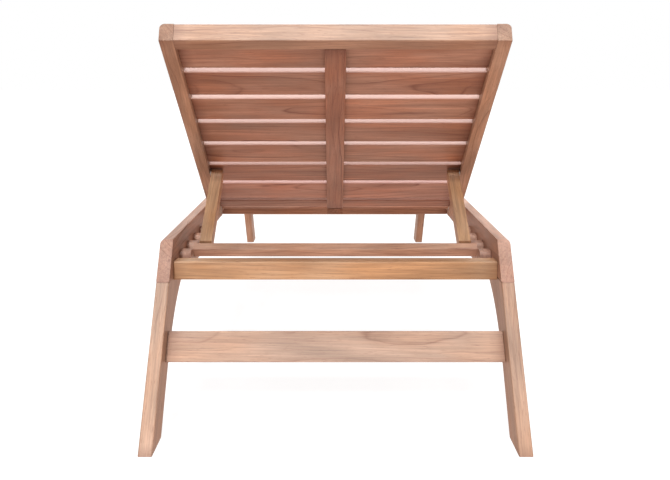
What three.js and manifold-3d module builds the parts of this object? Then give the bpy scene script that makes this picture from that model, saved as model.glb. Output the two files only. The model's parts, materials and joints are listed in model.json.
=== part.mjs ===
// Reclining sun lounger in slatted teak. A low frame of two side rails on raked legs carries a fixed
// seat deck. The backrest turns on two bolts in the rails, and a prop frame under it ends in a
// crossbar that drops behind the teeth of two racks.
// Millimetres. X across, Y from the head end (-) to the foot end (+), Z up, floor at Z = 0.

import * as THREE from "three";
import { mergeVertices } from "three/addons/utils/BufferGeometryUtils.js";
import Module from "manifold-3d";

const wasm = await Module();
wasm.setup();

const { degToRad } = THREE.MathUtils;

// Whole object
const LENGTH = 2000; // over the feet
const WIDTH = 600; // over the side rails
const GAP = 0.3; // between pieces that touch
const ARC_STEPS = 16;

// Side rails and legs, all cut from one size of board
const RAIL = { thickness: 22, height: 64, top: 291 };
const LEG = { rake: degToRad(41), kneeRadius: 384, lip: 3 };
const LEG_DOWEL = { diameter: 10, length: 60, endInset: 250 };

// Cross pieces of the base
const END_RAIL = { depth: 36, height: 31.8, bottom: 222.4, endInset: 243 };
const STRETCHER = { thickness: 20, height: 58, setback: 32.7, middle: 129 };
const CROSS_RAIL = { depth: 22, height: 35, front: 7 };

// Slats, alike in the seat and in the backrest
const SLAT = { width: 75.4, thickness: 16 };
const BATTEN = { width: 34.5, thickness: 12.2 };

// Seat deck
const SEAT = { slats: 11, start: -238, end: 740, ledgerWidth: 21.7 };

// Racks that hold the crossbar
const RACK = { thickness: 20, bottom: 230, floor: 240, top: 260, first: -691 };
const TOOTH = { count: 4, pitch: 88, length: 30, nose: 13 };

// Backrest, drawn flat from its hinge and then raised
const HINGE = { y: -258, z: 276 };
const RECLINE = degToRad(30.76);
const BACK = { reach: 702, halfWidth: 272.5, stile: 22, thickness: 30, topRail: 26.8 };
const BACK_SLATS = { count: 7, pitch: 88.6, recess: 12.5 };
const BOTTOM_RAIL = { start: 21, end: 53 };

// Prop frame, drawn along -Y from its pivot and then lowered
const PIVOT = { reach: 212, offset: -10 };
const PROP_SLOPE = degToRad(29);
const ARM = { thickness: 22, above: 6.5, below: 17.3, neck: 7.8, outside: 247 };
const BAR = { size: 18, reach: 236.48, offset: -6.5, halfLength: 257.4 };

// Bolts, nuts and spacers
const HINGE_BOLT = { shank: 8, head: 14, headDepth: 5 };
const HINGE_NUT = { across: 13, thickness: 6 };
const HINGE_SPACER = 18;
const PROP_BOLT = { shank: 6, head: 9, headDepth: 4, grip: 15 }; // grip: its length inside the stile
const PROP_SPACER = 13;
const CLEARANCE = 0.6; // added to a bolt's diameter for its hole

const railInside = WIDTH / 2 - RAIL.thickness;
const railBottom = RAIL.top - RAIL.height;
const betweenRails = 2 * (railInside - GAP);
const rakeRun = Math.tan(LEG.rake);
const slatBottom = RAIL.top - GAP - SLAT.thickness;
const backHalf = BACK.thickness / 2;
const stileInside = BACK.halfWidth - BACK.stile;
const deckEnd = LENGTH / 2 - END_RAIL.endInset - END_RAIL.depth - GAP;

const teak = (color) => new THREE.MeshStandardMaterial({ color, roughness: 0.55, metalness: 0 });
const FINISH = {
  raked: teak(0xcda88f),
  rail: teak(0xc79f80),
  golden: teak(0xc8955f),
  slat: teak(0xa5735f),
  stile: teak(0xb9896c),
  rack: teak(0xc59a86),
  steel: new THREE.MeshStandardMaterial({ color: 0x8f8c88, roughness: 0.35, metalness: 1 }),
};

function piece(name, geometry, material) {
  const mesh = new THREE.Mesh(geometry, material);
  mesh.name = name;
  return mesh;
}

function block(sizeX, sizeY, sizeZ) {
  return new THREE.BoxGeometry(sizeX, sizeY, sizeZ);
}

// A board cut to an outline in the YZ plane, its thickness centred on X = 0.
function board(outline, thickness) {
  const options = { depth: thickness, bevelEnabled: false, curveSegments: ARC_STEPS };
  const geometry = new THREE.ExtrudeGeometry(outline, options);
  geometry.translate(0, 0, -thickness / 2);
  const toYZ = new THREE.Matrix4().makeBasis(
    new THREE.Vector3(0, 1, 0),
    new THREE.Vector3(0, 0, 1),
    new THREE.Vector3(1, 0, 0),
  );
  return geometry.applyMatrix4(toYZ);
}

function outlineOf(points) {
  return new THREE.Shape(points.map(([y, z]) => new THREE.Vector2(y, z)));
}

// A round bar along X between two stations.
function roundBar(diameter, fromX, toX, sides = 24) {
  const geometry = new THREE.CylinderGeometry(diameter / 2, diameter / 2, Math.abs(toX - fromX), sides);
  geometry.rotateZ(Math.PI / 2);
  geometry.translate((fromX + toX) / 2, 0, 0);
  return geometry;
}

function toSolid(geometry) {
  const bare = geometry.clone();
  bare.deleteAttribute("normal");
  bare.deleteAttribute("uv");
  const merged = mergeVertices(bare, 1e-4);
  return new wasm.Manifold(new wasm.Mesh({
    numProp: 3,
    vertProperties: new Float32Array(merged.attributes.position.array),
    triVerts: new Uint32Array(merged.index.array),
  }));
}

function toGeometry(solid) {
  const mesh = solid.getMesh();
  const geometry = new THREE.BufferGeometry();
  geometry.setAttribute("position", new THREE.BufferAttribute(mesh.vertProperties, 3));
  geometry.setIndex(new THREE.BufferAttribute(mesh.triVerts, 1));
  geometry.computeVertexNormals();
  return geometry;
}

function cut(geometry, ...tools) {
  return toGeometry(tools.reduce((rest, tool) => rest.subtract(toSolid(tool)), toSolid(geometry)));
}

function join(geometry, ...others) {
  return toGeometry(others.reduce((sum, other) => sum.add(toSolid(other)), toSolid(geometry)));
}

function placed(mesh, x, y, z) {
  mesh.position.set(x, y, z);
  return mesh;
}

const sides = [["left", -1], ["right", 1]];

// Base: one side rail, with the hole and counterbore of its hinge bolt and two dowel holes
function sideRail(side) {
  const top = LENGTH / 2 - rakeRun * RAIL.top;
  const bottom = LENGTH / 2 - rakeRun * railBottom;
  const outline = outlineOf([[-bottom, railBottom], [bottom, railBottom], [top, RAIL.top], [-top, RAIL.top]]);
  const half = RAIL.thickness / 2;
  const seat = half - HINGE_BOLT.headDepth - GAP;
  const hole = roundBar(HINGE_BOLT.shank + CLEARANCE, -half - 1, half + 1);
  const counterbore = roundBar(HINGE_BOLT.head + CLEARANCE, side * seat, side * (half + 1));
  hole.translate(0, HINGE.y, HINGE.z);
  counterbore.translate(0, HINGE.y, HINGE.z);
  return cut(board(outline, RAIL.thickness), hole, counterbore, dowel(-1, GAP), dowel(1, GAP));
}

// An upright dowel through the joint of a rail and a leg, larger all round by the given margin
function dowel(end, margin = 0) {
  const radius = LEG_DOWEL.diameter / 2 + margin;
  const geometry = new THREE.CylinderGeometry(radius, radius, LEG_DOWEL.length + 2 * margin, 16);
  geometry.rotateX(Math.PI / 2);
  return geometry.translate(0, end * (LENGTH / 2 - LEG_DOWEL.endInset), railBottom);
}

// Base: a raked leg of the head end, swept into the rail above by a hollow knee
function leg() {
  const top = railBottom - GAP;
  const front = -LENGTH / 2;
  const back = front + RAIL.height / Math.cos(LEG.rake);
  const centreZ = railBottom - LEG.kneeRadius;
  const centreY = back + rakeRun * centreZ + LEG.kneeRadius / Math.cos(LEG.rake);
  const lipAngle = Math.PI - Math.asin((railBottom - LEG.lip - centreZ) / LEG.kneeRadius);
  const outline = new THREE.Shape();
  outline.moveTo(front, 0);
  outline.lineTo(back, 0);
  outline.absarc(centreY, centreZ, LEG.kneeRadius, Math.PI - LEG.rake, lipAngle, true);
  outline.lineTo(centreY + LEG.kneeRadius * Math.cos(lipAngle), top);
  outline.lineTo(front + rakeRun * top, top);
  return cut(board(outline, RAIL.thickness), dowel(-1, GAP));
}

// Base: a stretcher between the legs, which is level beneath once it is tilted with their rake
function stretcherShape() {
  const { thickness, height } = STRETCHER;
  const level = rakeRun * thickness - height / 2;
  const front = [[0, height / 2], [0, -height / 2]];
  return board(outlineOf([...front, [thickness, level], [thickness, height / 2]]), betweenRails);
}

// Base: the pieces of one end, drawn for the head end and turned round for the foot end
function endFrame(name, turned) {
  const group = new THREE.Group();
  for (const [side, sign] of sides) {
    const x = (turned ? -sign : sign) * (WIDTH / 2 - RAIL.thickness / 2);
    group.add(placed(piece(`${name}_leg_${side}`, leg(), FINISH.raked), x, 0, 0));
    group.add(placed(piece(`${name}_leg_dowel_${side}`, dowel(-1), FINISH.raked), x, 0, 0));
  }
  const endRailShape = block(betweenRails, END_RAIL.depth, END_RAIL.height);
  const endRail = piece(`${name}_end_rail`, endRailShape, FINISH.golden);
  const endRailY = END_RAIL.endInset + END_RAIL.depth / 2 - LENGTH / 2;
  group.add(placed(endRail, 0, endRailY, END_RAIL.bottom + END_RAIL.height / 2));

  const stretcher = piece(`${name}_stretcher`, stretcherShape(), FINISH.raked);
  stretcher.rotation.x = -LEG.rake;
  const stretcherY = rakeRun * STRETCHER.middle + STRETCHER.setback / Math.cos(LEG.rake) - LENGTH / 2;
  group.add(placed(stretcher, 0, stretcherY, STRETCHER.middle));
  group.rotation.z = turned ? Math.PI : 0;
  return group;
}

// Base: a strip that lies along the seat, between the middle cross rail and the slats
function seatStrip(width) {
  const top = slatBottom - GAP;
  const bottom = railBottom + CROSS_RAIL.height + GAP;
  const strip = block(width, deckEnd - SEAT.start, top - bottom);
  return strip.translate(0, (SEAT.start + deckEnd) / 2, (top + bottom) / 2);
}

// Base: a rack of teeth, each rounded at its nose and upright behind
function rack() {
  const outline = new THREE.Shape();
  const { count, pitch, length, nose } = TOOTH;
  outline.moveTo(RACK.first, RACK.bottom);
  outline.lineTo(RACK.first + (count - 1) * pitch + length, RACK.bottom);
  for (let i = count - 1; i >= 0; i--) {
    const front = RACK.first + i * pitch;
    outline.lineTo(front + length, RACK.top);
    outline.absarc(front + nose, RACK.top - nose, nose, Math.PI / 2, Math.PI, false);
    if (i > 0) {
      outline.lineTo(front, RACK.floor);
      outline.lineTo(front - pitch + length, RACK.floor);
    }
  }
  return board(outline, RACK.thickness);
}

function base() {
  const group = new THREE.Group();
  for (const [side, sign] of sides) {
    const railX = sign * (WIDTH / 2 - RAIL.thickness / 2);
    const ledgerX = sign * (railInside - GAP - SEAT.ledgerWidth / 2);
    const rackX = sign * (railInside - GAP - RACK.thickness / 2);
    group.add(placed(piece(`side_rail_${side}`, sideRail(sign), FINISH.rail), railX, 0, 0));
    group.add(placed(piece(`seat_ledger_${side}`, seatStrip(SEAT.ledgerWidth), FINISH.rail), ledgerX, 0, 0));
    group.add(placed(piece(`rack_${side}`, rack(), FINISH.rack), rackX, 0, 0));
  }
  const crossRailShape = block(betweenRails, CROSS_RAIL.depth, CROSS_RAIL.height);
  const crossRail = piece("middle_cross_rail", crossRailShape, FINISH.rail);
  const crossRailY = CROSS_RAIL.front + CROSS_RAIL.depth / 2;
  group.add(placed(crossRail, 0, crossRailY, railBottom + CROSS_RAIL.height / 2));

  const pitch = (SEAT.end - SEAT.start - SLAT.width) / (SEAT.slats - 1);
  for (let i = 0; i < SEAT.slats; i++) {
    const name = `seat_slat_${String(i + 1).padStart(2, "0")}`;
    const slat = piece(name, block(betweenRails, SLAT.width, SLAT.thickness), FINISH.slat);
    const y = SEAT.start + SLAT.width / 2 + i * pitch;
    group.add(placed(slat, 0, y, slatBottom + SLAT.thickness / 2));
  }
  group.add(piece("seat_batten", seatStrip(BATTEN.width), FINISH.slat));
  group.add(endFrame("head", false), endFrame("foot", true));
  return group;
}

// Backrest: a stile, round at the hinge, drilled and counterbored for the hinge bolt and its nut, and
// drilled part of the way for the prop bolt. Both holes start from the side that faces the slats.
function stile(side) {
  const outline = new THREE.Shape();
  outline.moveTo(-BACK.reach, -backHalf);
  outline.lineTo(0, -backHalf);
  outline.absarc(0, 0, backHalf, -Math.PI / 2, Math.PI / 2, false);
  outline.lineTo(-BACK.reach, backHalf);
  const half = BACK.stile / 2;
  const nutWidth = HINGE_NUT.across / Math.cos(Math.PI / 6) + CLEARANCE;
  const nutFloor = half - HINGE_NUT.thickness - 2 * GAP;
  const pivotFloor = half - PROP_BOLT.grip - GAP;
  const hingeHole = roundBar(HINGE_BOLT.shank + CLEARANCE, -half - 1, half + 1);
  const nutSeat = roundBar(nutWidth, -side * (half + 1), -side * nutFloor);
  const pivotHole = roundBar(PROP_BOLT.shank + CLEARANCE, -side * (half + 1), -side * pivotFloor);
  pivotHole.translate(0, -PIVOT.reach, PIVOT.offset);
  return cut(board(outline, BACK.stile), hingeHole, nutSeat, pivotHole);
}

// Backrest: a piece that spans the stiles between two distances from the hinge
function backSpan(name, from, to, low, high, material) {
  const geometry = block(2 * (stileInside - GAP), to - from, high - low);
  return placed(piece(name, geometry, material), 0, -(from + to) / 2, (low + high) / 2);
}

function backrest() {
  const group = new THREE.Group();
  for (const [side, sign] of sides) {
    const x = sign * (BACK.halfWidth - BACK.stile / 2);
    group.add(placed(piece(`back_stile_${side}`, stile(sign), FINISH.stile), x, 0, 0));
  }
  const topRailFoot = BACK.reach - BACK.topRail;
  const low = -backHalf + BACK_SLATS.recess;
  const high = low + SLAT.thickness;
  group.add(backSpan("back_top_rail", topRailFoot, BACK.reach, -backHalf, backHalf, FINISH.raked));
  group.add(backSpan("back_bottom_rail", BOTTOM_RAIL.start, BOTTOM_RAIL.end, low, high, FINISH.slat));
  for (let i = 0; i < BACK_SLATS.count; i++) {
    const upper = topRailFoot - GAP - i * BACK_SLATS.pitch;
    group.add(backSpan(`back_slat_${i + 1}`, upper - SLAT.width, upper, low, high, FINISH.slat));
  }
  const battenStart = BOTTOM_RAIL.start + 20;
  const battenEnd = topRailFoot - GAP;
  const battenShape = block(BATTEN.width, battenEnd - battenStart, BATTEN.thickness);
  const batten = piece("back_batten", battenShape, FINISH.golden);
  group.add(placed(batten, 0, -(battenStart + battenEnd) / 2, -backHalf + BATTEN.thickness / 2));
  group.add(propFrame());
  group.position.set(0, HINGE.y, HINGE.z);
  group.rotation.x = -RECLINE;
  return group;
}

// Prop frame: an arm, round about its pivot and cut away beneath so that it turns clear of the slats.
// The bolt's head lies in a counterbore on the side away from the stile.
function arm(side) {
  const { above, below, neck } = ARM;
  const foot = BAR.reach - BAR.size / 2 - GAP;
  const outline = new THREE.Shape();
  outline.moveTo(-foot, -below);
  outline.lineTo(-neck, -below);
  outline.absarc(0, 0, above, -Math.PI / 4, Math.PI / 2, false);
  outline.lineTo(-foot, above);
  const half = ARM.thickness / 2;
  const hole = roundBar(PROP_BOLT.shank + CLEARANCE, -half - 1, half + 1);
  const seatFloor = half - PROP_BOLT.headDepth - GAP;
  const headSeat = roundBar(PROP_BOLT.head + CLEARANCE, -side * (half + 1), -side * seatFloor);
  return cut(board(outline, ARM.thickness), hole, headSeat);
}

function propFrame() {
  const group = new THREE.Group();
  for (const [side, sign] of sides) {
    const x = sign * (ARM.outside - ARM.thickness / 2);
    group.add(placed(piece(`prop_arm_${side}`, arm(sign), FINISH.golden), x, 0, 0));
  }
  const bar = piece("prop_crossbar", block(2 * BAR.halfLength, BAR.size, BAR.size), FINISH.golden);
  group.add(placed(bar, 0, -BAR.reach, BAR.offset));
  group.position.set(0, -PIVOT.reach, PIVOT.offset);
  group.rotation.x = PROP_SLOPE + RECLINE;
  return group;
}

// Fixings, each drawn along +X for the right side
function bolt(shank, head, headDepth, shankFrom, shankTo, headFrom) {
  return join(roundBar(shank, shankFrom, shankTo), roundBar(head, headFrom, headFrom + headDepth));
}

function nut(across, thickness, shank) {
  const hexagon = roundBar(across / Math.cos(Math.PI / 6), 0, thickness, 6);
  return cut(hexagon, roundBar(shank + CLEARANCE, -1, thickness + 1));
}

function spacer(diameter, shank, fromX, toX) {
  return cut(roundBar(diameter, fromX, toX), roundBar(shank + CLEARANCE, fromX - 1, toX + 1));
}

// Right-side geometry for either side: turned half round for the left one.
function turnedFor(sign, geometry) {
  return sign > 0 ? geometry : geometry.rotateZ(Math.PI);
}

// Fixings: the hinge bolt's head is let into the rail and its nut into the stile, and the prop bolt's
// head into the arm
function fixings() {
  const group = new THREE.Group();
  const hingeHead = WIDTH / 2 - HINGE_BOLT.headDepth;
  const propHead = ARM.outside - ARM.thickness;
  const propEnd = stileInside + PROP_BOLT.grip;
  const pivotY = HINGE.y - PIVOT.reach * Math.cos(RECLINE) + PIVOT.offset * Math.sin(RECLINE);
  const pivotZ = HINGE.z + PIVOT.reach * Math.sin(RECLINE) + PIVOT.offset * Math.cos(RECLINE);

  for (const [side, sign] of sides) {
    const { shank, head, headDepth } = HINGE_BOLT;
    const atHinge = {
      hinge_bolt: bolt(shank, head, headDepth, stileInside, hingeHead + 1, hingeHead),
      hinge_spacer: spacer(HINGE_SPACER, shank, BACK.halfWidth + GAP, railInside - GAP),
      hinge_nut: nut(HINGE_NUT.across, HINGE_NUT.thickness, shank).translate(stileInside + GAP, 0, 0),
    };
    const atPivot = {
      prop_bolt: bolt(PROP_BOLT.shank, PROP_BOLT.head, PROP_BOLT.headDepth, propHead + 1, propEnd, propHead),
      prop_spacer: spacer(PROP_SPACER, PROP_BOLT.shank, ARM.outside + GAP, stileInside - GAP),
    };
    for (const [fixingSet, y, z] of [[atHinge, HINGE.y, HINGE.z], [atPivot, pivotY, pivotZ]]) {
      for (const [name, geometry] of Object.entries(fixingSet)) {
        const mesh = piece(`${name}_${side}`, turnedFor(sign, geometry), FINISH.steel);
        group.add(placed(mesh, 0, y, z));
      }
    }
  }
  return group;
}

const lounger = new THREE.Group();
lounger.add(base(), backrest(), fixings());

export default lounger;
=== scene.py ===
"""Reclining sun lounger in oiled teak: boards with eased edges and solid grain, and stainless bolts."""

from __future__ import annotations

import json
import logging
import math
import random
from dataclasses import dataclass
from enum import Enum

import bmesh
import bpy
from mathutils import Matrix, Vector

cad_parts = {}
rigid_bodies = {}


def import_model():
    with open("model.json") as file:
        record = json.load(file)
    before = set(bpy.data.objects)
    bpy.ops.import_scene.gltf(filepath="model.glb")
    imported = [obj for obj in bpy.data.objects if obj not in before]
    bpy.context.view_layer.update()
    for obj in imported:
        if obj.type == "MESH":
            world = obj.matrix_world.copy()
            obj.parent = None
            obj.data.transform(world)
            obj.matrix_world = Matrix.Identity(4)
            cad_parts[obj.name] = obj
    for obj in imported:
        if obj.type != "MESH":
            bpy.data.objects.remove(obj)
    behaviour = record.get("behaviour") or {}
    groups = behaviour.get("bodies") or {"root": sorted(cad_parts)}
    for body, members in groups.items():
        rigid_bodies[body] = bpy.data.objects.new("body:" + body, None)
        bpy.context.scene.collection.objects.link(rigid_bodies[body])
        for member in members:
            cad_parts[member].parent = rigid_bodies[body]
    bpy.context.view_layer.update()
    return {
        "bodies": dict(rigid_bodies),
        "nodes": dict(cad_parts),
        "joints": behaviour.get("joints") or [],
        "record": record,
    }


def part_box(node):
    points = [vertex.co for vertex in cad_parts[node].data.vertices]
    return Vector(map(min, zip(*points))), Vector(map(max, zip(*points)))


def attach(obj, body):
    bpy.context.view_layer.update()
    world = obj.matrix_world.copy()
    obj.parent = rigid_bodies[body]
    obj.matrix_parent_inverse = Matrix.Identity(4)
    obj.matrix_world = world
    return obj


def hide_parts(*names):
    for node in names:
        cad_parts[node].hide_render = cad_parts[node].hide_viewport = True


LOG = logging.getLogger("sun_lounger")

Socket = bpy.types.NodeSocket
Colour = tuple[float, float, float, float]
Scale = tuple[float, float, float]
Span = tuple[float, float]

MM = 0.001
RECLINE = math.radians(30.76)
PROP_SLOPE = math.radians(29.0)
LEG_RAKE = math.radians(41.0)

ACROSS = Vector((1.0, 0.0, 0.0))
LENGTHWAYS = Vector((0.0, 1.0, 0.0))
UP = Vector((0.0, 0.0, 1.0))
SIDES = (("left", -1), ("right", 1))
WHITE = (1.0, 1.0, 1.0, 1.0)


class Sawing(Enum):
    """How a board lay in its log: the bearing of the log's heart from the board's wide face, in degrees."""

    PLAIN = 78.0
    RIFT = 42.0
    QUARTER = 8.0


class Tone(Enum):
    """Colour cast of one board against its finish, as red, green and blue factors."""

    EVEN = (1.0, 1.0, 1.0)
    ROSE = (1.03, 0.94, 0.95)
    GOLD = (1.06, 1.0, 0.84)
    PALE = (1.12, 1.13, 1.12)
    SAP = (1.3, 1.24, 1.22)
    TAN = (0.9, 0.87, 0.84)
    BROWN = (0.86, 0.8, 0.78)
    # Painted shade: darkens the backrest's bottom rail, which lies in shade under the back.
    PAINTED_SHADE = (0.74, 0.66, 0.64)


class Wiring:
    """Adds shader nodes to a tree and wires them together."""

    mix_inputs: tuple[int, int, int] = (0, 6, 7)
    mix_output: int = 2

    def __init__(self, tree: bpy.types.NodeTree) -> None:
        """Takes up a tree.

        Args:
            tree: A material's or a world's node tree.
        """
        self.tree = tree

    def add(self, kind: str, **settings: object) -> bpy.types.Node:
        """Adds a node.

        Args:
            kind: The node's type name.
            **settings: Properties to set on it.

        Returns:
            The new node.
        """
        node = self.tree.nodes.new(kind)
        for key, value in settings.items():
            setattr(node, key, value)
        return node

    def feed(self, socket: Socket, value: object) -> None:
        """Links a socket to an input, or sets the input's value.

        Args:
            socket: The input socket.
            value: An output socket, or a plain value.
        """
        if isinstance(value, Socket):
            self.tree.links.new(value, socket)
        else:
            socket.default_value = value

    def math(self, operation: str, a: object, b: object = 0.0) -> Socket:
        """Works out one sum.

        Args:
            operation: The Math node's operation.
            a: First operand.
            b: Second operand.

        Returns:
            The result's socket.
        """
        node = self.add("ShaderNodeMath", operation=operation)
        self.feed(node.inputs[0], a)
        self.feed(node.inputs[1], b)
        return node.outputs[0]

    def stretch(self, vector: Socket, factors: Scale) -> Socket:
        """Multiplies a vector by three factors.

        Args:
            vector: The vector's socket.
            factors: One factor for each axis.

        Returns:
            The product's socket.
        """
        node = self.add("ShaderNodeVectorMath", operation="MULTIPLY")
        self.feed(node.inputs[0], vector)
        node.inputs[1].default_value = factors
        return node.outputs[0]

    def noise(self, vector: object, detail: float = 2.0, roughness: float = 0.5) -> Socket:
        """Adds a noise texture of unit scale.

        Args:
            vector: The place to read it at, already scaled.
            detail: Number of octaves.
            roughness: Weight of the finer octaves.

        Returns:
            The noise value's socket, about 0.5 on average.
        """
        node = self.add("ShaderNodeTexNoise")
        self.feed(node.inputs["Vector"], vector)
        node.inputs["Scale"].default_value = 1.0
        node.inputs["Detail"].default_value = detail
        node.inputs["Roughness"].default_value = roughness
        return node.outputs[0]

    def ramp(self, value: object, stops: list[Span]) -> Socket:
        """Maps a value through a curve of grey stops.

        Args:
            value: The value's socket.
            stops: Pairs of place and grey level.

        Returns:
            The mapped value's socket.
        """
        node = self.add("ShaderNodeValToRGB")
        self.feed(node.inputs[0], value)
        elements = node.color_ramp.elements
        while len(elements) < len(stops):
            elements.new(0.5)
        for element, (place, grey) in zip(elements, stops):
            element.position = place
            element.color = (grey, grey, grey, 1.0)
        return node.outputs[0]

    def mix(self, factor: object, a: object, b: object, blend: str = "MIX") -> Socket:
        """Mixes two colours.

        Args:
            factor: How much of the second shows.
            a: First colour.
            b: Second colour.
            blend: The Mix node's blend type.

        Returns:
            The mixed colour's socket.
        """
        node = self.add("ShaderNodeMix", data_type="RGBA", blend_type=blend)
        for place, value in zip(self.mix_inputs, (factor, a, b)):
            self.feed(node.inputs[place], value)
        return node.outputs[self.mix_output]

    def attribute(self, name: str, output: str) -> Socket:
        """Reads one of the mesh's own attributes.

        Args:
            name: The attribute's name.
            output: Which output is wanted: Vector, Color or Fac.

        Returns:
            The value's socket.
        """
        node = self.add("ShaderNodeAttribute", attribute_type="GEOMETRY", attribute_name=name)
        return node.outputs[output]


class NodeSheet(Wiring):
    """The wiring of one material, which ends in a Principled shader."""

    def __init__(self, name: str) -> None:
        """Starts an empty material.

        Args:
            name: The material's name.
        """
        self.material = bpy.data.materials.new(name)
        self.material.use_nodes = True
        super().__init__(self.material.node_tree)
        self.tree.nodes.clear()
        self.shader = self.add("ShaderNodeBsdfPrincipled")
        output = self.add("ShaderNodeOutputMaterial")
        self.tree.links.new(self.shader.outputs["BSDF"], output.inputs["Surface"])

    def bump(self, height: Socket, strength: float, distance: float) -> None:
        """Raises the surface's relief.

        Args:
            height: The relief's height.
            strength: How strongly it shows.
            distance: Depth of the relief.
        """
        node = self.add("ShaderNodeBump")
        node.inputs["Strength"].default_value = strength
        node.inputs["Distance"].default_value = distance
        self.feed(node.inputs["Height"], height)
        self.feed(self.shader.inputs["Normal"], node.outputs[0])


@dataclass(frozen=True)
class Teak:
    """Oiled teak whose growth rings run through the solid board.

    A scale gives the pattern's repeats in a metre along the grain, across it and through the board.
    """

    slot: str
    early: Colour
    late: Colour
    warm: Colour
    # Colour of the painted highlight on a board's long edge faces.
    edge_highlight: Colour = (0.72, 0.56, 0.52, 1.0)
    ring: float = 7.5 * MM
    line: float = 0.5
    blotch: float = 0.55
    roughness: float = 0.44
    gloss: float = 0.36
    wander: float = 62.0 * MM
    ripple: float = 4.0 * MM
    year_step: float = 0.61
    relief: float = 0.3 * MM
    relief_strength: float = 0.55
    fibre_scale: Scale = (9.0, 340.0, 340.0)
    pore_scale: Scale = (70.0, 900.0, 900.0)
    speckle_scale: Scale = (300.0, 800.0, 800.0)
    wander_scale: Scale = (2.4, 6.0, 6.0)
    ripple_scale: Scale = (14.0, 40.0, 40.0)
    fade_scale: Scale = (4.0, 22.0, 22.0)
    streak_scale: Scale = (2.2, 46.0, 46.0)
    patch_scale: Scale = (7.0, 17.0, 17.0)
    shade_scale: Scale = (5.0, 24.0, 24.0)
    stain_scale: Scale = (20.0, 60.0, 60.0)
    knot_scale: Scale = (5.5, 16.0, 16.0)

    def material(self) -> bpy.types.Material:
        """Builds the finish's material.

        Returns:
            The material, which reads the attributes grain, reach, tone, edge and end_grain; edge carries a
            painted highlight and reach a painted shade towards the board's ends.
        """
        sheet = NodeSheet(f"oiled_{self.slot}")
        grain = sheet.attribute("grain", "Vector")
        lines = self.growth_rings(sheet, grain)
        fibres = sheet.noise(sheet.stretch(grain, self.fibre_scale), 4.0, 0.6)
        pores = sheet.noise(sheet.stretch(grain, self.pore_scale), 1.0)
        pores = sheet.ramp(pores, [(0.62, 0.0), (0.72, 1.0)])

        colour = self.body_colour(sheet, grain)
        colour = sheet.mix(lines, colour, self.late)
        colour = sheet.mix(1.0, colour, sheet.ramp(fibres, [(0.3, 0.74), (0.7, 1.16)]), "MULTIPLY")
        colour = sheet.mix(sheet.math("MULTIPLY", pores, 0.4), colour, self.late)
        # Painted shade at both ends of each board, where it meets other parts, together with pin knots.
        colour = sheet.mix(self.end_shade_and_knots(sheet, grain), colour, self.late)

        ends = sheet.attribute("end_grain", "Fac")
        speckle = sheet.noise(sheet.stretch(grain, self.speckle_scale), 2.0)
        end_shade = sheet.ramp(speckle, [(0.35, 0.76), (0.65, 0.98)])
        colour = sheet.mix(ends, colour, sheet.mix(1.0, colour, end_shade, "MULTIPLY"))
        # Painted highlight: a board's long edge faces are mixed towards the highlight colour, standing in
        # for the light that reaches the slats' edges through the backrest's gaps.
        colour = sheet.mix(sheet.attribute("edge", "Fac"), colour, self.edge_highlight)
        colour = sheet.mix(1.0, colour, sheet.attribute("tone", "Color"), "MULTIPLY")
        sheet.feed(sheet.shader.inputs["Base Color"], colour)

        gloss = sheet.math("MULTIPLY", sheet.math("ADD", lines, fibres), 0.16)
        gloss = sheet.math("ADD", gloss, sheet.math("MULTIPLY", ends, 0.2))
        sheet.feed(sheet.shader.inputs["Roughness"], sheet.math("ADD", gloss, self.roughness - 0.1))
        sheet.shader.inputs["Specular IOR Level"].default_value = self.gloss

        raised = sheet.math("MULTIPLY", fibres, 0.7)
        height = sheet.math("SUBTRACT", raised, sheet.math("MULTIPLY", lines, 0.3))
        height = sheet.math("SUBTRACT", height, sheet.math("MULTIPLY", pores, 0.6))
        sheet.bump(height, self.relief_strength, self.relief)
        return sheet.material

    def growth_rings(self, sheet: NodeSheet, grain: Socket) -> Socket:
        """Draws the dark late wood of the rings, strong in some years and faint in others.

        Args:
            sheet: The material's sheet.
            grain: The place in the log.

        Returns:
            How much late wood shows, from 0 to the finish's line strength.
        """
        wander = sheet.noise(sheet.stretch(grain, self.wander_scale), 2.0)
        ripple = sheet.noise(sheet.stretch(grain, self.ripple_scale), 2.0)
        distance = sheet.add("ShaderNodeVectorMath", operation="LENGTH")
        sheet.feed(distance.inputs[0], sheet.stretch(grain, (0.0, 1.0, 1.0)))
        radius = sheet.math("ADD", distance.outputs["Value"], sheet.math("MULTIPLY", wander, self.wander))
        radius = sheet.math("ADD", radius, sheet.math("MULTIPLY", ripple, self.ripple))
        rings = sheet.math("DIVIDE", radius, self.ring)
        year = sheet.add("ShaderNodeTexNoise", noise_dimensions="1D")
        sheet.feed(year.inputs["W"], sheet.math("MULTIPLY", rings, self.year_step))
        year.inputs["Scale"].default_value = 1.0
        strength = sheet.ramp(year.outputs[0], [(0.4, 0.15), (0.6, 1.0)])
        profile = [(0.0, 0.3), (0.05, 0.0), (0.6, 0.03), (0.88, 0.36), (0.95, 1.0), (1.0, 0.3)]
        late = sheet.ramp(sheet.math("FRACT", rings), profile)
        fade = sheet.noise(sheet.stretch(grain, self.fade_scale), 2.0)
        fade = sheet.math("MULTIPLY", sheet.ramp(fade, [(0.36, 0.2), (0.62, 1.0)]), self.line)
        return sheet.math("MULTIPLY", sheet.math("MULTIPLY", late, strength), fade)

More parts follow.
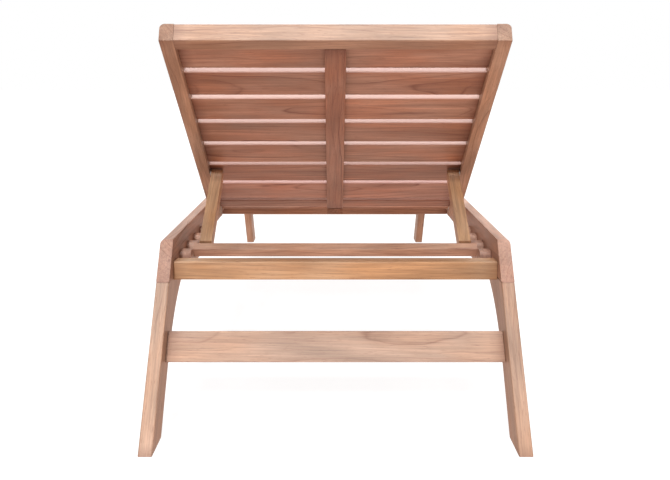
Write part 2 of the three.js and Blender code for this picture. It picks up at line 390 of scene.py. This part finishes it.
    def body_colour(self, sheet: NodeSheet, grain: Socket) -> Socket:
        """Mixes the wood's body colour in long streaks and broad warm patches.

        Args:
            sheet: The material's sheet.
            grain: The place in the log.

        Returns:
            The colour's socket.
        """
        streaks = sheet.noise(sheet.stretch(grain, self.streak_scale), 3.0, 0.55)
        streaks = sheet.ramp(streaks, [(0.42, 0.0), (0.72, 1.0)])
        patches = sheet.noise(sheet.stretch(grain, self.patch_scale), 2.0)
        patches = sheet.ramp(patches, [(0.4, 0.0), (0.62, 1.0)])
        shade = sheet.noise(sheet.stretch(grain, self.shade_scale), 2.0)
        shade = sheet.ramp(shade, [(0.34, 0.8), (0.66, 1.14)])
        colour = sheet.mix(sheet.math("MULTIPLY", patches, self.blotch), self.early, self.warm)
        colour = sheet.mix(sheet.math("MULTIPLY", streaks, 0.34), colour, self.late)
        return sheet.mix(1.0, colour, shade, "MULTIPLY")

    def end_shade_and_knots(self, sheet: NodeSheet, grain: Socket) -> Socket:
        """Darkens a board towards its two ends as painted shade where it meets other parts, and adds a few
        pin knots.

        Args:
            sheet: The material's sheet.
            grain: The place in the log.

        Returns:
            How dark the mark is.
        """
        reach = sheet.math("ABSOLUTE", sheet.attribute("reach", "Fac"))
        uneven = sheet.math("MULTIPLY", sheet.noise(sheet.stretch(grain, self.stain_scale), 2.0), 0.06)
        # Painted shade: darkening near each end of the board, made uneven by noise.
        joint_shade = sheet.ramp(sheet.math("SUBTRACT", reach, uneven), [(0.88, 0.0), (0.985, 0.5)])
        knots = sheet.add("ShaderNodeTexVoronoi")
        sheet.feed(knots.inputs["Vector"], sheet.stretch(grain, self.knot_scale))
        knots.inputs["Scale"].default_value = 1.0
        pins = sheet.ramp(knots.outputs["Distance"], [(0.03, 0.7), (0.075, 0.0)])
        return sheet.math("MAXIMUM", joint_shade, pins)


@dataclass(frozen=True)
class Stainless:
    """Turned and tumbled stainless steel."""

    slot: str = "steel"
    colour: Colour = (0.5, 0.49, 0.47, 1.0)
    tarnish: Colour = (0.3, 0.25, 0.2, 1.0)
    turned_scale: Scale = (2600.0, 240.0, 240.0)
    stain_scale: Scale = (160.0, 160.0, 160.0)
    relief: float = 0.05 * MM
    relief_strength: float = 0.2

    def material(self) -> bpy.types.Material:
        """Builds the finish's material.

        Returns:
            The material, which reads Object coordinates.
        """
        sheet = NodeSheet("stainless")
        place = sheet.add("ShaderNodeTexCoord").outputs["Object"]
        turned = sheet.noise(sheet.stretch(place, self.turned_scale), 2.0)
        stains = sheet.noise(sheet.stretch(place, self.stain_scale), 3.0)
        patchy = sheet.ramp(stains, [(0.45, 0.0), (0.75, 0.7)])
        sheet.feed(sheet.shader.inputs["Base Color"], sheet.mix(patchy, self.colour, self.tarnish))
        sheet.shader.inputs["Metallic"].default_value = 1.0
        sheet.feed(sheet.shader.inputs["Roughness"], sheet.ramp(turned, [(0.3, 0.24), (0.7, 0.42)]))
        sheet.bump(turned, self.relief_strength, self.relief)
        return sheet.material


TEAK_FRAME = Teak(
    "teak_frame",
    early=(0.43, 0.285, 0.205, 1.0),
    late=(0.17, 0.075, 0.05, 1.0),
    warm=(0.41, 0.23, 0.14, 1.0),
    line=0.75,
)
TEAK_SLAT = Teak(
    "teak_slat",
    early=(0.45, 0.27, 0.2, 1.0),
    late=(0.13, 0.04, 0.03, 1.0),
    warm=(0.46, 0.19, 0.1, 1.0),
    line=1.0,
)
TEAK_GOLDEN = Teak(
    "teak_golden",
    early=(0.54, 0.34, 0.2, 1.0),
    late=(0.25, 0.11, 0.05, 1.0),
    warm=(0.53, 0.265, 0.11, 1.0),
    line=0.5,
)
STAINLESS = Stainless()


@dataclass(frozen=True)
class Board:
    """One board of the lounger: the frame's node it stands for, its grain and its tone."""

    node: str
    along: Vector
    face: Vector
    finish: Teak
    tone: Tone = Tone.EVEN
    sawing: Sawing = Sawing.RIFT
    ease: float = 1.8 * MM
    end_ease: float = 0.35 * MM
    # How strongly the long edge faces take the painted highlight.
    painted_edge_highlight: float = 0.0
    rounded: tuple[Vector, Vector] | None = None
    round_radius: float = 8.0 * MM


class Workshop:
    """Makes the visible pieces and hands them to the frame's bodies.

    A facing is the cosine past which a face or an edge counts as looking or running that way.
    """

    weld: float = 0.01 * MM
    flat_angle: float = 0.5
    corner_angle: float = 40.0
    wood_sharp: float = 14.0
    round_flats: int = 8
    shortest_run: float = 2.2 * MM
    run_facing: float = 0.7
    end_facing: float = 0.86
    edge_facing: float = 0.6
    bearing_play: Span = (-8.0, 8.0)
    heart_play: Span = (55.0, 120.0)
    drift_play: Span = (-0.035, 0.035)
    rise_play: Span = (-0.02, 0.02)
    start_play: Span = (0.0, 40.0)
    shade_play: Span = (0.94, 1.06)

    def __init__(self, frame: dict) -> None:
        """Keeps the frame's nodes and makes each finish once.
        """
        self.nodes = frame["nodes"]
        self.made: list[str] = []
        self.materials = {
            finish.slot: finish.material() for finish in (TEAK_FRAME, TEAK_SLAT, TEAK_GOLDEN, STAINLESS)
        }

    def finish_piece(
        self, shape: bmesh.types.BMesh, node: str, body: str, slot: str, sharp: float,
    ) -> bpy.types.Mesh:
        """Turns a finished bmesh into a piece that stands for a node and rides on a body.

        Args:
            shape: The shape, in the lounger's own frame. It is freed.
            node: The node it replaces.
            body: The body it rides on.
            slot: The finish's slot.
            sharp: Angle in degrees above which an edge stays sharp.

        Returns:
            The piece's mesh.
        """
        mesh = bpy.data.meshes.new(f"{node}_made")
        shape.to_mesh(mesh)
        shape.free()
        mesh.shade_smooth()
        mesh.set_sharp_from_angle(angle=math.radians(sharp))
        mesh.materials.append(self.materials[slot])
        piece = bpy.data.objects.new(f"{node}_made", mesh)
        bpy.context.scene.collection.objects.link(piece)
        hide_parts(node)
        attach(piece, body)
        self.made.append(piece.name)
        return mesh

    def board(self, plan: Board, body: str) -> None:
        """Makes a board with eased edges and its grain laid through it.

        Args:
            plan: What the board is.
            body: The body it rides on.
        """
        shape = bmesh.new()
        shape.from_mesh(self.nodes[plan.node].data)
        bmesh.ops.remove_doubles(shape, verts=shape.verts, dist=self.weld)
        bmesh.ops.dissolve_limit(
            shape, angle_limit=math.radians(self.flat_angle), verts=shape.verts, edges=shape.edges,
        )
        if plan.rounded is not None:
            self.round_over(shape, *plan.rounded, plan.round_radius)
        self.ease_edges(shape, plan, lengthways=True)
        self.ease_edges(shape, plan, lengthways=False)
        mesh = self.finish_piece(shape, plan.node, body, plan.finish.slot, self.wood_sharp)
        self.lay_grain(mesh, plan)

    def round_over(self, shape: bmesh.types.BMesh, first: Vector, second: Vector, radius: float) -> None:
        """Planes one long corner of a board round, a flat at a time.

        Args:
            shape: The board.
            first: The way the one face at the corner looks.
            second: The way the other face looks, square to the first.
            radius: Radius of the rounding.
        """
        centre = first * (max(vertex.co.dot(first) for vertex in shape.verts) - radius)
        centre += second * (max(vertex.co.dot(second) for vertex in shape.verts) - radius)
        for step in range(self.round_flats):
            angle = math.radians(90.0) * (step + 0.5) / self.round_flats
            normal = first * math.cos(angle) + second * math.sin(angle)
            cut = bmesh.ops.bisect_plane(
                shape, geom=[*shape.verts, *shape.edges, *shape.faces], dist=1e-7,
                plane_co=centre + normal * radius, plane_no=normal, clear_outer=True,
            )
            rim = [item for item in cut["geom_cut"] if isinstance(item, bmesh.types.BMEdge)]
            bmesh.ops.edgeloop_fill(shape, edges=rim)
        bmesh.ops.recalc_face_normals(shape, faces=shape.faces)

    def ease_edges(self, shape: bmesh.types.BMesh, plan: Board, lengthways: bool) -> None:
        """Takes the sharpness off a board's corners.

        Args:
            shape: The board.
            plan: What the board is.
            lengthways: Whether the corners along the grain are meant, or the other ones.
        """
        chosen = []
        for edge in shape.edges:
            if not edge.is_manifold or edge.calc_face_angle() < math.radians(self.corner_angle):
                continue
            span = edge.verts[1].co - edge.verts[0].co
            is_long = span.length > self.shortest_run
            runs_along = is_long and abs(span.normalized().dot(plan.along)) > self.run_facing
            if runs_along == lengthways:
                chosen.append(edge)
        width = plan.ease if lengthways else plan.end_ease
        if chosen and width > 0.0:
            bmesh.ops.bevel(
                shape, geom=chosen, offset=width, offset_type="OFFSET", segments=3 if lengthways else 2,
                profile=0.5, affect="EDGES", clamp_overlap=True, material=-1,
            )

    def lay_grain(self, mesh: bpy.types.Mesh, plan: Board) -> None:
        """Writes the board's own coordinates from its log's heart, its tone, and where its end grain is.

        Args:
            mesh: The board's mesh.
            plan: What the board is.
        """
        chance = random.Random(plan.node)
        along = plan.along.normalized()
        face = plan.face.normalized()
        across = face.cross(along)
        low, high = (Vector(corner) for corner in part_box(plan.node))
        middle = (low + high) / 2
        bearing = math.radians(plan.sawing.value + chance.uniform(*self.bearing_play))
        heart = chance.uniform(*self.heart_play) * MM
        side = chance.choice((-1.0, 1.0))
        drift = chance.uniform(*self.drift_play)
        rise = chance.uniform(*self.rise_play)
        start = chance.uniform(*self.start_play)

        lengths = [(vertex.co - middle).dot(along) for vertex in mesh.vertices]
        half_length = max(abs(length) for length in lengths)

        grain = mesh.attributes.new("grain", "FLOAT_VECTOR", "POINT")
        for vertex, length, value in zip(mesh.vertices, lengths, grain.data):
            place = vertex.co - middle
            value.vector = (
                length + start,
                place.dot(across) + drift * length - side * heart * math.cos(bearing),
                place.dot(face) + rise * length - heart * math.sin(bearing),
            )
        # Place along the board from -1 to 1, which drives the painted shade at its ends.
        reach = mesh.attributes.new("reach", "FLOAT", "POINT")
        for length, value in zip(lengths, reach.data):
            value.value = length / half_length
        tone = mesh.attributes.new("tone", "FLOAT_COLOR", "POINT")
        shade = chance.uniform(*self.shade_play)
        cast = [factor * shade for factor in plan.tone.value]
        for value in tone.data:
            value.color = (*cast, 1.0)
        ends = mesh.attributes.new("end_grain", "FLOAT", "FACE")
        for polygon, value in zip(mesh.polygons, ends.data):
            value.value = 1.0 if abs(polygon.normal.dot(along)) > self.end_facing else 0.0
        # Painted highlight: long edge faces get the board's highlight strength, all other faces none.
        edges = mesh.attributes.new("edge", "FLOAT", "FACE")
        for polygon, value in zip(mesh.polygons, edges.data):
            is_highlit_edge = abs(polygon.normal.dot(across)) > self.edge_facing
            value.value = plan.painted_edge_highlight if is_highlit_edge else 0.0


@dataclass
class Base:
    """The low frame: side rails on raked legs, cross pieces, ledgers and racks."""

    workshop: Workshop
    body: str = "frame"
    rail_ease: float = 2.2 * MM
    rail_round: float = 7.0 * MM
    rack_ease: float = 1.2 * MM
    leg_end_ease: float = 1.4 * MM
    dowel_ease: float = 0.8 * MM

    def build(self) -> None:
        """Makes every board of the base."""
        for side, sign in SIDES:
            self.build_side(side, sign)
        for end, sign in (("head", 1), ("foot", -1)):
            self.build_end(end, sign)
        cross = Board("middle_cross_rail", ACROSS, LENGTHWAYS, TEAK_FRAME, Tone.BROWN, Sawing.RIFT)
        self.workshop.board(cross, self.body)

    def build_side(self, side: str, sign: int) -> None:
        """Makes the side rail, ledger and rack of one side.

        Args:
            side: left or right.
            sign: -1 on the left and 1 on the right.
        """
        boards = (
            Board(
                f"side_rail_{side}", LENGTHWAYS, ACROSS, TEAK_FRAME, Tone.ROSE, Sawing.RIFT, self.rail_ease,
                rounded=(UP, ACROSS * sign), round_radius=self.rail_round,
            ),
            Board(f"seat_ledger_{side}", LENGTHWAYS, UP, TEAK_FRAME, Tone.BROWN, Sawing.QUARTER),
            Board(f"rack_{side}", LENGTHWAYS, ACROSS, TEAK_FRAME, Tone.ROSE, Sawing.PLAIN, self.rack_ease),
        )
        for plan in boards:
            self.workshop.board(plan, self.body)

    def build_end(self, end: str, sign: int) -> None:
        """Makes the legs, dowels, end rail and stretcher of one end.

        Args:
            end: head or foot.
            sign: 1 where the legs lean towards +Y as they rise, and -1 where they lean back.
        """
        lean = Vector((0.0, sign * math.sin(LEG_RAKE), math.cos(LEG_RAKE)))
        front = Vector((0.0, -sign * math.cos(LEG_RAKE), math.sin(LEG_RAKE)))
        for (side, _), tone in zip(SIDES, (Tone.EVEN, Tone.TAN)):
            leg = Board(
                f"{end}_leg_{side}", lean, ACROSS, TEAK_FRAME, tone, Sawing.RIFT, self.rail_ease,
                self.leg_end_ease,
            )
            dowel = Board(
                f"{end}_leg_dowel_{side}", UP, ACROSS, TEAK_FRAME, Tone.PALE, ease=self.dowel_ease,
            )
            self.workshop.board(leg, self.body)
            self.workshop.board(dowel, self.body)
        rail = Board(f"{end}_end_rail", ACROSS, LENGTHWAYS, TEAK_GOLDEN, ease=self.rail_ease)
        stretcher = Board(
            f"{end}_stretcher", ACROSS, front, TEAK_FRAME, Tone.EVEN, Sawing.PLAIN, self.rail_ease,
        )
        self.workshop.board(rail, self.body)
        self.workshop.board(stretcher, self.body)


@dataclass
class SeatDeck:
    """The fixed deck: slats across the ledgers, and a batten under their middle."""

    workshop: Workshop
    body: str = "frame"
    slats: int = 11
    ease: float = 2.0 * MM

    def build(self) -> None:
        """Makes the slats and the batten."""
        sawing = (Sawing.RIFT, Sawing.PLAIN, Sawing.QUARTER)
        tones = (Tone.EVEN, Tone.ROSE, Tone.GOLD, Tone.EVEN, Tone.BROWN)
        for index in range(self.slats):
            node = f"seat_slat_{index + 1:02d}"
            tone = tones[index % len(tones)]
            plan = Board(node, ACROSS, UP, TEAK_SLAT, tone, sawing[index % len(sawing)], self.ease)
            self.workshop.board(plan, self.body)
        batten = Board("seat_batten", LENGTHWAYS, UP, TEAK_SLAT, Tone.GOLD, Sawing.RIFT)
        self.workshop.board(batten, self.body)


@dataclass
class Backrest:
    """The hinged back: two stiles, a top and a bottom rail, seven slats and a batten."""

    workshop: Workshop
    body: str = "backrest"
    ease: float = 2.0 * MM
    stile_end_ease: float = 1.2 * MM
    # Strength of the painted highlight on the slats' long edges, for the light in the gaps between them.
    slat_pale_edges: float = 0.95
    tones: tuple[Tone, ...] = (
        Tone.EVEN, Tone.EVEN, Tone.PALE, Tone.EVEN, Tone.EVEN, Tone.BROWN, Tone.ROSE,
    )
    sawing: tuple[Sawing, ...] = (
        Sawing.RIFT, Sawing.PLAIN, Sawing.PLAIN, Sawing.RIFT, Sawing.PLAIN, Sawing.RIFT, Sawing.PLAIN,
    )

    def build(self) -> None:
        """Makes every board of the backrest."""
        along = Vector((0.0, -math.cos(RECLINE), math.sin(RECLINE)))
        face = Vector((0.0, math.sin(RECLINE), math.cos(RECLINE)))
        boards = [
            Board("back_top_rail", ACROSS, face, TEAK_FRAME, Tone.EVEN, Sawing.RIFT, self.ease),
            # The bottom rail's darker tone is painted shade.
            Board("back_bottom_rail", ACROSS, face, TEAK_SLAT, Tone.PAINTED_SHADE, Sawing.RIFT, self.ease),
            Board("back_batten", along, face, TEAK_SLAT, Tone.BROWN, Sawing.RIFT, self.ease),
        ]
        for side, sign in SIDES:
            boards.append(Board(
                f"back_stile_{side}", along, ACROSS, TEAK_FRAME, Tone.PALE, Sawing.RIFT, self.ease,
                self.stile_end_ease, rounded=(face, ACROSS * sign),
            ))
        for index, (tone, sawing) in enumerate(zip(self.tones, self.sawing), 1):
            boards.append(Board(
                f"back_slat_{index}", ACROSS, face, TEAK_SLAT, tone, sawing, self.ease,
                painted_edge_highlight=self.slat_pale_edges,
            ))
        for plan in boards:
            self.workshop.board(plan, self.body)


@dataclass
class PropFrame:
    """The prop: two arms under the backrest, and the crossbar between the racks."""

    workshop: Workshop
    body: str = "prop"
    ease: float = 1.6 * MM

    def build(self) -> None:
        """Makes the arms and the crossbar."""
        along = Vector((0.0, -math.cos(PROP_SLOPE), -math.sin(PROP_SLOPE)))
        upper = Vector((0.0, -math.sin(PROP_SLOPE), math.cos(PROP_SLOPE)))
        for side, _ in SIDES:
            arm = Board(f"prop_arm_{side}", along, ACROSS, TEAK_GOLDEN, Tone.EVEN, Sawing.RIFT, self.ease)
            self.workshop.board(arm, self.body)
        bar = Board("prop_crossbar", ACROSS, upper, TEAK_FRAME, Tone.SAP, Sawing.RIFT, self.ease)
        self.workshop.board(bar, self.body)


@dataclass(frozen=True)
class Bolt:
    """Sizes of a domed bolt: its shank's diameter, its head's height and the width of its key."""

    shank: float
    head: float
    key: float


@dataclass
class Fixings:
    """The stainless bolts, nuts and spacers of the hinge and of the prop frame's pivots."""

    workshop: Workshop
    hinge_bolt: Bolt = Bolt(8.0 * MM, 5.0 * MM, 5.0 * MM)
    prop_bolt: Bolt = Bolt(6.0 * MM, 4.0 * MM, 4.0 * MM)
    hinge_bore: float = 8.6 * MM
    prop_bore: float = 6.6 * MM
    nut_sides: int = 6
    segments: int = 32
    socket_depth: float = 2.6 * MM
    collar: float = 0.3 * MM
    tip: float = 0.42
    tip_rise: float = 0.08
    dome: float = 0.62
    dome_steps: tuple[int, ...] = (0, 12, 25, 38, 50)
    rim_ease: float = 0.4 * MM
    rim_angle: float = 50.0
    steel_sharp: float = 32.0
    weld: float = 0.005 * MM

    def build(self) -> None:
        """Makes the fixings of both sides."""
        for side, sign in SIDES:
            self.build_bolt(f"hinge_bolt_{side}", "frame", sign, self.hinge_bolt)
            self.build_bolt(f"prop_bolt_{side}", "backrest", -sign, self.prop_bolt)
            self.build_ring(f"hinge_spacer_{side}", "frame", self.hinge_bore, self.segments)
            self.build_ring(f"hinge_nut_{side}", "frame", self.hinge_bore, self.nut_sides)
            self.build_ring(f"prop_spacer_{side}", "backrest", self.prop_bore, self.segments)

    def build_bolt(self, node: str, body: str, facing: int, bolt: Bolt) -> None:
        """Makes a domed bolt with a hexagon socket, its head towards one side.

        Args:
            node: The node it stands for.
            body: The body it rides on.
            facing: 1 if the head is at the +X end, and -1 at the other.
            bolt: Its sizes.
        """
        low, high = (Vector(corner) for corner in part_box(node))
        radius = (high.z - low.z) / 2
        length = high.x - low.x
        under = length - bolt.head
        dome_rise = bolt.head * self.dome
        profile = [(0.0, 0.0), (bolt.shank * self.tip, 0.0)]
        profile += [(bolt.shank / 2, bolt.shank * self.tip_rise), (bolt.shank / 2, under)]
        profile += [(radius - self.collar, under), (radius, under + self.collar)]
        for step in self.dome_steps:
            turn = math.radians(step)
            profile.append((radius * math.cos(turn), length - dome_rise + dome_rise * math.sin(turn)))
        shape = bmesh.new()
        verts = [shape.verts.new((x, 0.0, z)) for x, z in profile]
        edges = [shape.edges.new(pair) for pair in zip(verts, verts[1:])]
        bmesh.ops.spin(
            shape, geom=verts + edges, cent=(0.0, 0.0, 0.0), axis=(0.0, 0.0, 1.0), angle=2 * math.pi,
            steps=self.segments, use_merge=True,
        )
        bmesh.ops.remove_doubles(shape, verts=shape.verts, dist=self.weld)
        rim = [edge for edge in shape.edges if edge.is_boundary]
        top = profile[-1][1]
        hexagon = bmesh.ops.create_circle(
            shape, segments=6, radius=bolt.key / 2 / math.cos(math.pi / 6), cap_ends=False,
            matrix=Matrix.Translation((0.0, 0.0, top)),
        )["verts"]
        mouth = list({edge for vertex in hexagon for edge in vertex.link_edges})
        bmesh.ops.bridge_loops(shape, edges=rim + mouth)
        wall = bmesh.ops.extrude_edge_only(shape, edges=mouth)["geom"]
        floor = [item for item in wall if isinstance(item, bmesh.types.BMVert)]
        floor_edges = [item for item in wall if isinstance(item, bmesh.types.BMEdge)]
        bmesh.ops.translate(shape, verts=floor, vec=(0.0, 0.0, -self.socket_depth))
        bmesh.ops.contextual_create(shape, geom=floor_edges)
        self.stand(shape, low, high, facing)
        self.workshop.finish_piece(shape, node, body, STAINLESS.slot, self.steel_sharp)

    def build_ring(self, node: str, body: str, bore: float, sides: int) -> None:
        """Makes a spacer or a nut: a ring of so many sides with a round bore and eased rims.

        Args:
            node: The node it stands for.
            body: The body it rides on.
            bore: The bore's diameter.
            sides: Number of sides outside.
        """
        low, high = (Vector(corner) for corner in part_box(node))
        thickness = high.x - low.x
        radius = (high.z - low.z) / 2
        shape = bmesh.new()
        outer = bmesh.ops.create_circle(shape, segments=sides, radius=radius, cap_ends=False)
        inner = bmesh.ops.create_circle(shape, segments=self.segments, radius=bore / 2, cap_ends=False)
        loops = list({edge for vertex in outer["verts"] + inner["verts"] for edge in vertex.link_edges})
        bmesh.ops.bridge_loops(shape, edges=loops)
        faces = list(shape.faces)
        walls = bmesh.ops.extrude_face_region(shape, geom=faces, use_keep_orig=True)["geom"]
        lifted = [item for item in walls if isinstance(item, bmesh.types.BMVert)]
        bmesh.ops.translate(shape, verts=lifted, vec=(0.0, 0.0, thickness))
        bmesh.ops.recalc_face_normals(shape, faces=shape.faces)
        sharpest = math.radians(self.rim_angle)
        rims = [edge for edge in shape.edges if edge.is_manifold and edge.calc_face_angle() > sharpest]
        bmesh.ops.bevel(
            shape, geom=rims, offset=self.rim_ease, offset_type="OFFSET", segments=2, profile=0.5,
            affect="EDGES", clamp_overlap=True, material=-1,
        )
        self.stand(shape, low, high, 1)
        self.workshop.finish_piece(shape, node, body, STAINLESS.slot, self.steel_sharp)

    def stand(self, shape: bmesh.types.BMesh, low: Vector, high: Vector, facing: int) -> None:
        """Turns a shape drawn upwards from the origin so that it lies along X in its node's box.

        Args:
            shape: The shape.
            low: The box's lowest corner.
            high: The box's highest corner.
            facing: 1 if the shape's upper end goes to the +X end, and -1 if it goes to the other.
        """
        start = low.x if facing > 0 else high.x
        middle = (low + high) / 2
        turn = Matrix.Rotation(facing * math.pi / 2, 4, "Y")
        place = Matrix.Translation((start, middle.y, middle.z))
        bmesh.ops.transform(shape, matrix=place @ turn, verts=shape.verts)
        bmesh.ops.recalc_face_normals(shape, faces=shape.faces)


@dataclass(frozen=True)
class Sun:
    """A distant light.

    Its turn is its bearing from straight in front of the head end, its height is above the horizon, and
    its spread is its apparent size, which softens its shadows. All three are in degrees. Its strength is
    in watts per square metre.
    """

    name: str
    turn: float
    height: float
    spread: float
    strength: float


@dataclass
class Studio:
    """A pale floor under soft light, and the camera beyond the head end."""

    eye: tuple[float, float, float] = (-0.0026, -2.4103, 0.5728)
    pitch: float = math.radians(9.646)
    focal: float = 52.8
    shift: float = 0.0018
    floor_half: float = 30.0
    glow: float = 0.92
    floor_drop: float = 0.2 * MM
    floor_roughness: float = 0.9
    floor_colours: tuple[Colour, Colour] = ((0.19, 0.19, 0.19, 1.0), (0.21, 0.21, 0.21, 1.0))
    mottle_scale: Scale = (3.0, 3.0, 3.0)
    horizon: float = 0.3
    from_above: Colour = (0.3, 0.3, 0.31, 1.0)
    from_below: Colour = (1.06, 0.75, 0.62, 1.0)
    suns: tuple[Sun, ...] = (Sun("front", -6.0, 33.0, 4.0, 2.1), Sun("overhead", 0.0, 86.0, 40.0, 3.2))

    def build(self) -> None:
        """Makes the floor, the light and the camera."""
        self.build_floor()
        self.build_world()
        for sun in self.suns:
            self.build_sun(sun)
        self.build_camera()

    def build_floor(self) -> None:
        """Makes the floor, which isn't part of the lounger."""
        shape = bmesh.new()
        bmesh.ops.create_grid(shape, x_segments=1, y_segments=1, size=self.floor_half)
        bmesh.ops.translate(shape, verts=shape.verts, vec=(0.0, 0.0, -self.floor_drop))
        mesh = bpy.data.meshes.new("floor")
        shape.to_mesh(mesh)
        shape.free()
        sheet = NodeSheet("pale_floor")
        place = sheet.add("ShaderNodeTexCoord").outputs["Object"]
        mottle = sheet.noise(sheet.stretch(place, self.mottle_scale), 2.0)
        colour = sheet.mix(mottle, *self.floor_colours)
        sheet.feed(sheet.shader.inputs["Base Color"], colour)
        sheet.shader.inputs["Roughness"].default_value = self.floor_roughness
        sheet.shader.inputs["Specular IOR Level"].default_value = 0.0
        sheet.shader.inputs["Emission Color"].default_value = WHITE
        sheet.shader.inputs["Emission Strength"].default_value = self.glow
        mesh.materials.append(sheet.material)
        floor = bpy.data.objects.new("floor", mesh)
        floor.visible_diffuse = False
        floor.visible_glossy = False
        bpy.context.scene.collection.objects.link(floor)

    def build_world(self) -> None:
        """Makes the even light of a white cove, which is dimmer for matt surfaces and warm from below."""
        world = bpy.data.worlds.new("white_cove")
        world.use_nodes = True
        wiring = Wiring(world.node_tree)
        split = wiring.add("ShaderNodeSeparateXYZ")
        wiring.feed(split.inputs[0], wiring.add("ShaderNodeTexCoord").outputs["Generated"])
        rise = wiring.add("ShaderNodeMapRange")
        rise.inputs["From Min"].default_value = -self.horizon
        rise.inputs["From Max"].default_value = self.horizon
        wiring.feed(rise.inputs["Value"], split.outputs["Z"])
        path = wiring.add("ShaderNodeLightPath")
        overhead = wiring.mix(path.outputs["Is Glossy Ray"], self.from_above, WHITE)
        soft = wiring.mix(rise.outputs[0], self.from_below, overhead)
        seen = wiring.mix(path.outputs["Is Camera Ray"], soft, WHITE)
        background = world.node_tree.nodes["Background"]
        wiring.feed(background.inputs["Color"], seen)
        background.inputs["Strength"].default_value = 1.0
        bpy.context.scene.world = world

    def build_sun(self, sun: Sun) -> None:
        """Makes one distant light.

        Args:
            sun: What the light is.
        """
        light = bpy.data.lights.new(sun.name, "SUN")
        light.angle = math.radians(sun.spread)
        light.energy = sun.strength
        lamp = bpy.data.objects.new(sun.name, light)
        lamp.rotation_euler = (math.radians(90.0 - sun.height), 0.0, math.radians(sun.turn))
        bpy.context.scene.collection.objects.link(lamp)

    def build_camera(self) -> None:
        """Makes the camera, lower than the top of the raised back and pitched down."""
        lens = bpy.data.cameras.new("camera")
        lens.lens = self.focal
        lens.shift_x = self.shift
        camera = bpy.data.objects.new("camera", lens)
        camera.location = self.eye
        camera.rotation_euler = (math.pi / 2 - self.pitch, 0.0, 0.0)
        bpy.context.scene.collection.objects.link(camera)
        bpy.context.scene.camera = camera


def main() -> None:
    """Builds the lounger on its frame, and the studio round it."""
    logging.basicConfig(level=logging.INFO, format="%(name)s: %(message)s")
    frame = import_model()
    bpy.context.scene.view_settings.view_transform = "Standard"
    workshop = Workshop(frame)
    for assembly in (Base, SeatDeck, Backrest, PropFrame, Fixings):
        already = len(workshop.made)
        assembly(workshop).build()
        for name in workshop.made[already:]:
            LOG.info("%s: %s", assembly.__name__, name)
    Studio().build()
    LOG.info("built the studio")


if __name__ == "__main__":
    main()
